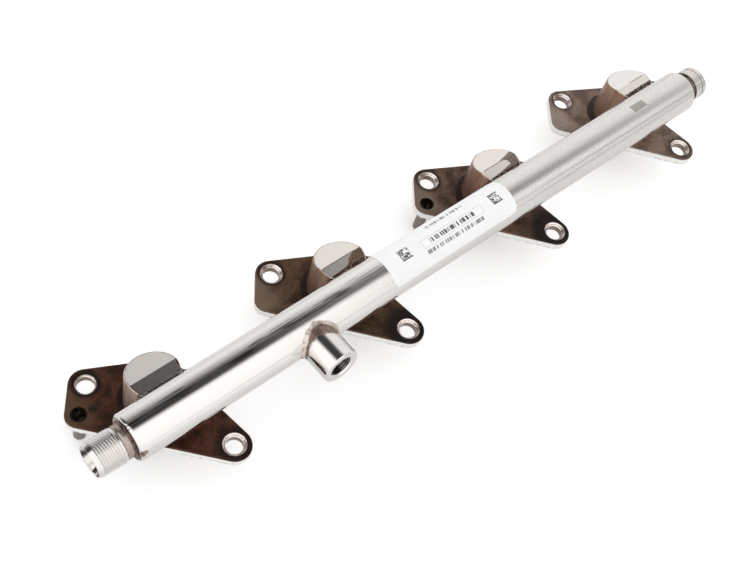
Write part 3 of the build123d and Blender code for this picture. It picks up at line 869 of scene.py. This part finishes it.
def divided(corners, steps):
    """Points along a closed polyline, each leg cut into pieces no longer than its step."""
    found = []
    for start, end, size in zip(corners, corners[1:] + corners[:1], steps):
        start, end = np.array(start, float), np.array(end, float)
        count = max(1, math.ceil(np.linalg.norm(end - start) / size))
        found.append(start + (end - start) * np.linspace(0, 1, count, endpoint=False)[:, None])
    return np.concatenate(found)


def around_tube(x, radius, angle):
    """Points at x along the tube, at a radius and an angle in degrees round it."""
    turn = np.radians(angle)
    return np.stack(np.broadcast_arrays(x, AXIS_Y - radius * np.cos(turn),
                                        AXIS_Z + radius * np.sin(turn)), -1)


def from_boss(along, across, out):
    """Points by three distances from the boss's foot: along the tube, round it, outwards."""
    out_way, along_way = np.array(BOSS_OUT), np.array([1.0, 0.0, 0.0])
    ways = (along_way, np.cross(out_way, along_way), out_way)
    moves = np.broadcast_arrays(along, across, out)
    return np.array(BOSS_FOOT) + sum(move[..., None] * way for move, way in zip(moves, ways))


# %% [markdown]
# ## The inlet and its thread
# The inlet fitting is a turned piece with a fine M14 thread. The section is followed from
# the spigot inside the tube over the neck, land and thread to the tip, and back through the
# cone and the bore. On the thread the radius falls and rises once in each millimetre of
# pitch, and a full turn moves that wave by one pitch, which makes it a helix.

# %% Threaded inlet
THREAD_MIDDLE = place_of("inlet_thread")[0]
THREAD_CREST = mounts["inlet_thread"]["dims"]["r_mm"]
THREAD_LENGTH = mounts["inlet_thread"]["dims"]["length_mm"]
PITCH = 1.0
THREAD_DEPTH = 0.58
FLANK_RISE = 2.6
CREST_REST = 0.2
TIP_LENGTH = 1.9
TIP_RADIUS = 6.25
SEAT_RADIUS = 6.0
SEAT_DEPTH = 6.06
BORE_RADIUS = 2.5
SPIGOT_RADIUS = 5.45
SPIGOT_LENGTH = 8.0
NECK_RADIUS = 6.7
NECK_LENGTH = 3.0
NECK_END = TUBE_START - NECK_LENGTH
GROOVE = 0.4
GROOVE_RADIUS = 6.1
LAND_RADIUS = 6.8
TURN_STEPS = 144


def thread_wave(position, turn):
    """0 on a narrow crest and 1 in a narrow root, with straight flanks between them.

    The phase is the position over the pitch plus the turn's share of a circle. The wave is
    the phase's distance from a half, times FLANK_RISE, less CREST_REST, kept in 0 to 1.
    """
    phase = (position[:, None] / PITCH + turn[None, :] / 360) % 1
    return np.clip(np.abs(phase - 0.5) * FLANK_RISE - CREST_REST, 0, 1)


def inlet_points():
    """The section of the inlet, turned round the tube's axis, with the thread cut into it.

    Radius on the thread: crest less depth times the wave. The thread starts behind the
    tip's smooth bevel, and fades into the land over its last half pitch.
    """
    thread_end = THREAD_MIDDLE + THREAD_LENGTH / 2
    thread_start = THREAD_MIDDLE - THREAD_LENGTH / 2
    tip = thread_start - TIP_LENGTH
    corners = [
        (TUBE_START + SPIGOT_LENGTH, SPIGOT_RADIUS), (TUBE_START, SPIGOT_RADIUS),
        (TUBE_START, NECK_RADIUS), (NECK_END, NECK_RADIUS), (NECK_END, GROOVE_RADIUS),
        (NECK_END - GROOVE, GROOVE_RADIUS), (NECK_END - GROOVE, LAND_RADIUS),
        (thread_end, LAND_RADIUS), (thread_end, THREAD_CREST), (thread_start, THREAD_CREST),
        (tip, TIP_RADIUS), (tip, SEAT_RADIUS), (tip + SEAT_DEPTH, BORE_RADIUS),
        (TUBE_START + SPIGOT_LENGTH, BORE_RADIUS),
    ]
    steps = [4, 1, 1, 0.3, 0.3, 0.3, 0.5, 0.1, 0.1, 0.08, 0.3, 0.6, 3, 2]
    section = divided(corners, steps)
    x, radius = section[:, 0], section[:, 1]
    turn = np.linspace(0, 360, TURN_STEPS, endpoint=False)
    cut = THREAD_CREST - THREAD_DEPTH * thread_wave(x, turn)
    fade = np.clip((thread_end - x) / (PITCH / 2), 0, 1)[:, None]
    cut = cut * fade + LAND_RADIUS * (1 - fade)
    threaded = (x < thread_end) & (x >= thread_start) & (radius > SEAT_RADIUS)
    shaped = np.where(threaded[:, None], np.minimum(radius[:, None], cut), radius[:, None])
    return around_tube(x[:, None], shaped, turn[None, :])


def inlet_heat(tree, place, axes):
    """1 on the neck, beside the braze."""
    return product(tree, edge(tree, axes["X"], NECK_END - 0.6, NECK_END + 0.4), 0.8)


# The inlet's bore and cone: painted shade, with streaks of painted reflection.
inlet_steel = turned_finish("turned_inlet_steel", "#f3f0ee", "#dad5d1", inlet_heat, "#8f7666", "X",
                            roughness=0.06, bore=(*TUBE_LINE, SEAT_RADIUS, "#4b443f", "#dedad5"))
ring_piece("threaded_inlet", inlet_points(), inlet_steel, ["inlet_fitting"])

# %% [markdown]
# ## Lumps of braze
# A hand-fed braze ring is never even. Its section keeps to the neck and to the tube's end,
# and its hollow face swells and sinks with a few waves of different length. At two places
# the braze ran, and one drip of it froze on the tube's skin.

# %% Braze at the inlet
RING_LEG = 0.85
RING_HOLLOW = 0.86
RING_SWELL = 0.28
RING_STEPS = 180
RING_RUNS = [(-4, 2.3, 7), (-34, 1.2, 8)]
SUNK = 0.3
DRIP = {"x": TUBE_START + 1.05, "angle": 19.0, "half_length": 1.5, "half_width": 1.0,
        "height": 0.75}


def uneven(angle, seed, waves=(2, 3, 5, 9, 14)):
    """A sum of sines round the turn, about -1 to 1, the short waves weaker than the long."""
    random = np.random.default_rng(seed)
    shift = random.uniform(0, 2 * np.pi, len(waves))
    parts = [np.sin(np.radians(angle) * count + start) / count ** 0.5
             for count, start in zip(waves, shift)]
    return np.sum(parts, axis=0) / 2


def braze_ring_points(x, neck, outward, seed, runs=()):
    """Section of a ring: out along the tube's end, back down a hollow face to the neck.

    The hollow face lies at leg times 1 less hollow times the sine up the tube's end, and
    the same with the cosine along the neck. It swells with the uneven function. A run is a
    bell of extra height at one angle, and stands out less than it climbs.
    """
    turn = np.linspace(0, 360, RING_STEPS, endpoint=False)[None, :]
    size = 1 + RING_SWELL * uneven(turn, seed)
    for middle, height, width in runs:
        away = (turn - middle + 180) % 360 - 180
        size = size + height * np.exp(-(away / width) ** 2)
    face = np.radians(np.linspace(0, 90, 9))[:, None]
    rise = np.concatenate([[[0.0], [0.5]], 1 - np.sin(face) * RING_HOLLOW, [[-0.15]]])
    reach = np.concatenate([[[-0.1], [-0.1]], 1 - np.cos(face) * RING_HOLLOW, [[0.5]]])
    radius = neck - 0.05 + np.maximum(rise * RING_LEG * size, -0.1)
    return around_tube(x + outward * reach * RING_LEG * size ** 0.4, radius, turn)


def drip_points(x, angle, half_length, half_width, height):
    """A drip of braze on the tube's skin: oval in plan with three bulges, round on top.

    Height: that of the middle times the root of 1 less the square of the share of the way
    out. Rows run from the middle out over the top, and back below the skin.
    """
    turn = np.radians(np.linspace(0, 360, 32, endpoint=False))[None, :]
    share = np.linspace(0.03, 1, 9)[:, None]
    size = 1 + 0.12 * np.sin(3 * turn + 1)
    over = height * np.sqrt(1 - share ** 2) * size
    rise = np.concatenate([over, np.full_like(over, -SUNK)])
    share = np.concatenate([share, share[::-1]]) * size
    round_tube = angle + np.degrees(half_width * share * np.sin(turn) / TUBE_RADIUS)
    return around_tube(x + half_length * share * np.cos(turn), TUBE_RADIUS + rise, round_tube)


ring_piece("inlet_braze", braze_ring_points(TUBE_START, NECK_RADIUS, -1, 5, RING_RUNS),
           braze_finish("inlet_fluxed_braze", "#806a5f", "#402c25", lump=2.2), ["braze_inlet"])
ring_piece("inlet_braze_drip", drip_points(**DRIP),
           braze_finish("drip_fluxed_braze", "#a08c81", "#6a544a", lump=1.2))

# %% [markdown]
# ## Braze round the boss
# Here the braze has spread over the tube in a lumpy collar. Seen along the boss, each point
# is given by a turn round the boss and a share of the way out over the tube's skin.

# %% Boss braze
COLLAR_WIDTH = 1.7
COLLAR_HEIGHT = 1.1
SKIRT_HEIGHT = 0.35


def boss_braze_points():
    """Collar between the boss and the tube, uneven in width and height.

    Each point lies some way along the tube and an angle round it from the boss, and both
    grow from the boss's wall outwards. The collar rises above the skin by its height times
    the square of what is left of the way, and by a skirt that goes with the root of it.
    """
    turn = np.linspace(0, 360, 240, endpoint=False)[None, :]
    flow = np.radians(turn)
    share = np.linspace(0, 1, 10)[:, None]
    width = (COLLAR_WIDTH + 0.75 * uneven(turn, 11, (3, 7, 11, 16, 25))) * share
    height = COLLAR_HEIGHT + 0.3 * uneven(turn, 12, (2, 5, 8, 13, 21))
    skirt = SKIRT_HEIGHT * (0.6 + 0.4 * uneven(turn, 13, (5, 11, 17)))
    wall = BOSS_RADIUS - 0.1
    along = (wall + width) * np.cos(flow)
    angle = np.arcsin(wall * np.sin(flow) / TUBE_RADIUS) + width * np.sin(flow) / TUBE_RADIUS
    lift = height * (1 - share) ** 2 + skirt * np.sqrt(1 - share)
    lift = np.concatenate([lift, np.full_like(lift, -SUNK)])
    along, angle = (np.concatenate([part, part[::-1]]) for part in (along, angle))
    return from_boss(along, TUBE_RADIUS * np.sin(angle), TUBE_RADIUS * np.cos(angle) + lift)


collar_braze = braze_finish("boss_fluxed_braze", "#e3d8cf", "#ab988b", lump=2.0,
                            contact=(BOSS_FOOT, BOSS_OUT, BOSS_RADIUS + 0.1))
ring_piece("boss_braze_collar", boss_braze_points(), collar_braze, ["braze_boss"])

# %% [markdown]
# ## Thread in the boss
# Inside the boss a fine thread takes the sensor. It is a thin sleeve in the bore, and its
# ridges are the same wave as on the inlet, turned inwards.

# %% Sensor thread
SLEEVE_START, SLEEVE_END = 0.9, 8.7
SLEEVE_ROWS, SLEEVE_STEPS = 70, 72
RIDGE = 0.3


def sensor_thread_points():
    """A sleeve in the bore: ridges stand in by up to RIDGE, and its back is in the wall."""
    face = TUBE_RADIUS + BOSS_REACH
    out = np.linspace(face - SLEEVE_START, face - SLEEVE_END, SLEEVE_ROWS)
    turn = np.linspace(0, 360, SLEEVE_STEPS, endpoint=False)
    inner = SENSOR_BORE - RIDGE * (1 - thread_wave(out, turn))
    radius = np.concatenate([inner, np.full((2, SLEEVE_STEPS), SENSOR_BORE + 0.1)])
    out = np.concatenate([out, out[[-1, 0]]])[:, None]
    flow = np.radians(turn)[None, :]
    return from_boss(radius * np.cos(flow), radius * np.sin(flow), out)


ring_piece("sensor_thread_turns", sensor_thread_points(), boss_steel)
